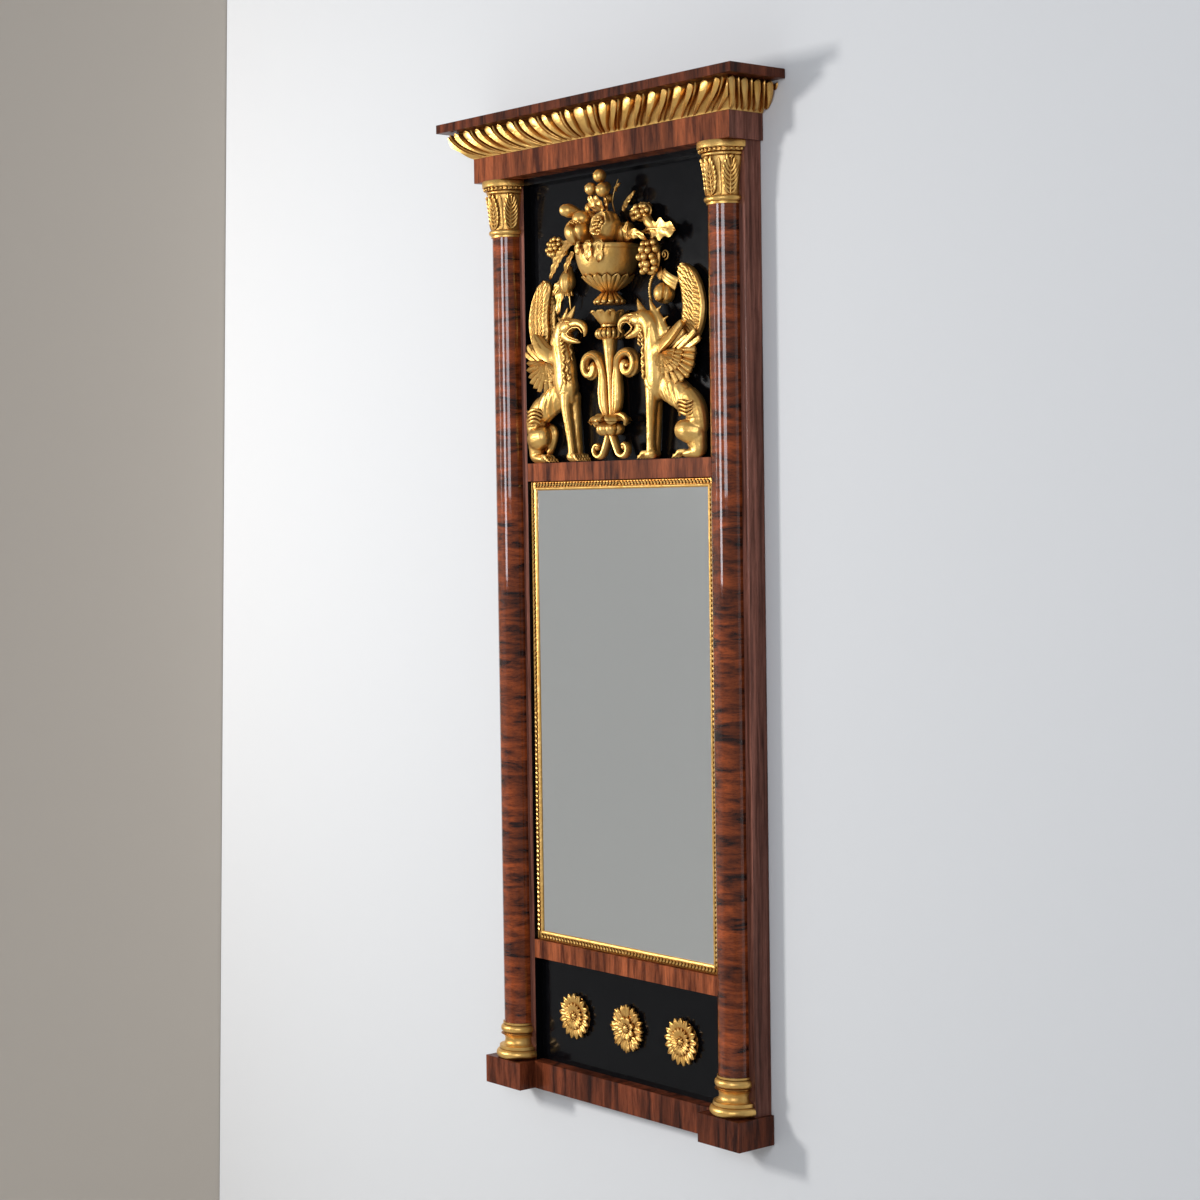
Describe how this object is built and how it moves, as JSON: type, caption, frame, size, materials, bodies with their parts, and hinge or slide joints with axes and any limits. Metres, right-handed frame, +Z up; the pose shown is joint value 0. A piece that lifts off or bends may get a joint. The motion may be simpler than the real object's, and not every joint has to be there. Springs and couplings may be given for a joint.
{
  "type": "pier mirror",
  "caption": "Tall wall mirror in a mahogany case with half-round columns, gadrooned gilt cornice, bevelled plate, and ebonised panels with gilt griffins, tazza of fruit and rosettes.",
  "frame": {"origin": "on the wall plane (the back of the case), at the bottom of the plinth, on the centre line", "axes": "+Z up, +X to the right of someone who faces the mirror, +Y into the wall, so the front faces -Y"},
  "size_m": [0.808, 0.123, 1.8],
  "materials": {
    "mahogany": "French-polished mahogany veneer, cross-banded on the front",
    "ebonised": "glossy ebonised wood",
    "gilding": "burnished and matt water gilding on carved wood, lightly worn",
    "pine": "bare softwood",
    "silvered_glass": "aged silvered plate glass, bevelled",
    "brass_plate": "dull brass",
    "steel": "plain steel"
  },
  "bodies": {
    "root": {"plinth_block_left": "mahogany", "plinth_block_right": "mahogany", "base_rail": "mahogany", "stile_left": "mahogany", "stile_right": "mahogany", "lower_rail": "mahogany", "upper_rail": "mahogany", "top_rail": "mahogany", "frieze_front": "mahogany", "frieze_return_left": "mahogany", "frieze_return_right": "mahogany", "frieze_soffit": "mahogany", "frieze_back": "pine", "frieze_blocks": "pine", "gadroon_front": "gilding", "gadroon_return_left": "gilding", "gadroon_return_right": "gilding", "cornice_board": "mahogany", "cornice_screws": "steel", "shaft_left": "mahogany", "shaft_right": "mahogany", "capital_left": "gilding", "capital_right": "gilding", "column_base_left": "gilding", "column_base_right": "gilding", "lower_panel": "ebonised", "upper_panel": "ebonised", "mirror_plate": "silvered_glass", "plate_wedges": "pine", "back_boards": "pine", "board_nails": "steel", "moulding_left": "gilding", "moulding_right": "gilding", "moulding_top": "gilding", "moulding_bottom": "gilding", "rosette_left": "gilding", "rosette_middle": "gilding", "rosette_right": "gilding", "griffin_left": "gilding", "griffin_right": "gilding", "wings_left": "gilding", "wings_right": "gilding", "candelabrum_feet": "gilding", "candelabrum_collar": "gilding", "candelabrum_stalks": "gilding", "candelabrum_stem": "gilding", "candelabrum_cup": "gilding", "tazza": "gilding", "fruit": "gilding", "grapes_left": "gilding", "grapes_right": "gilding", "grapes_upper": "gilding", "garland_left": "gilding", "garland_right": "gilding", "hanging_plate_left": "brass_plate", "hanging_plate_right": "brass_plate", "plate_screws": "steel"}
  },
  "joints": []
}
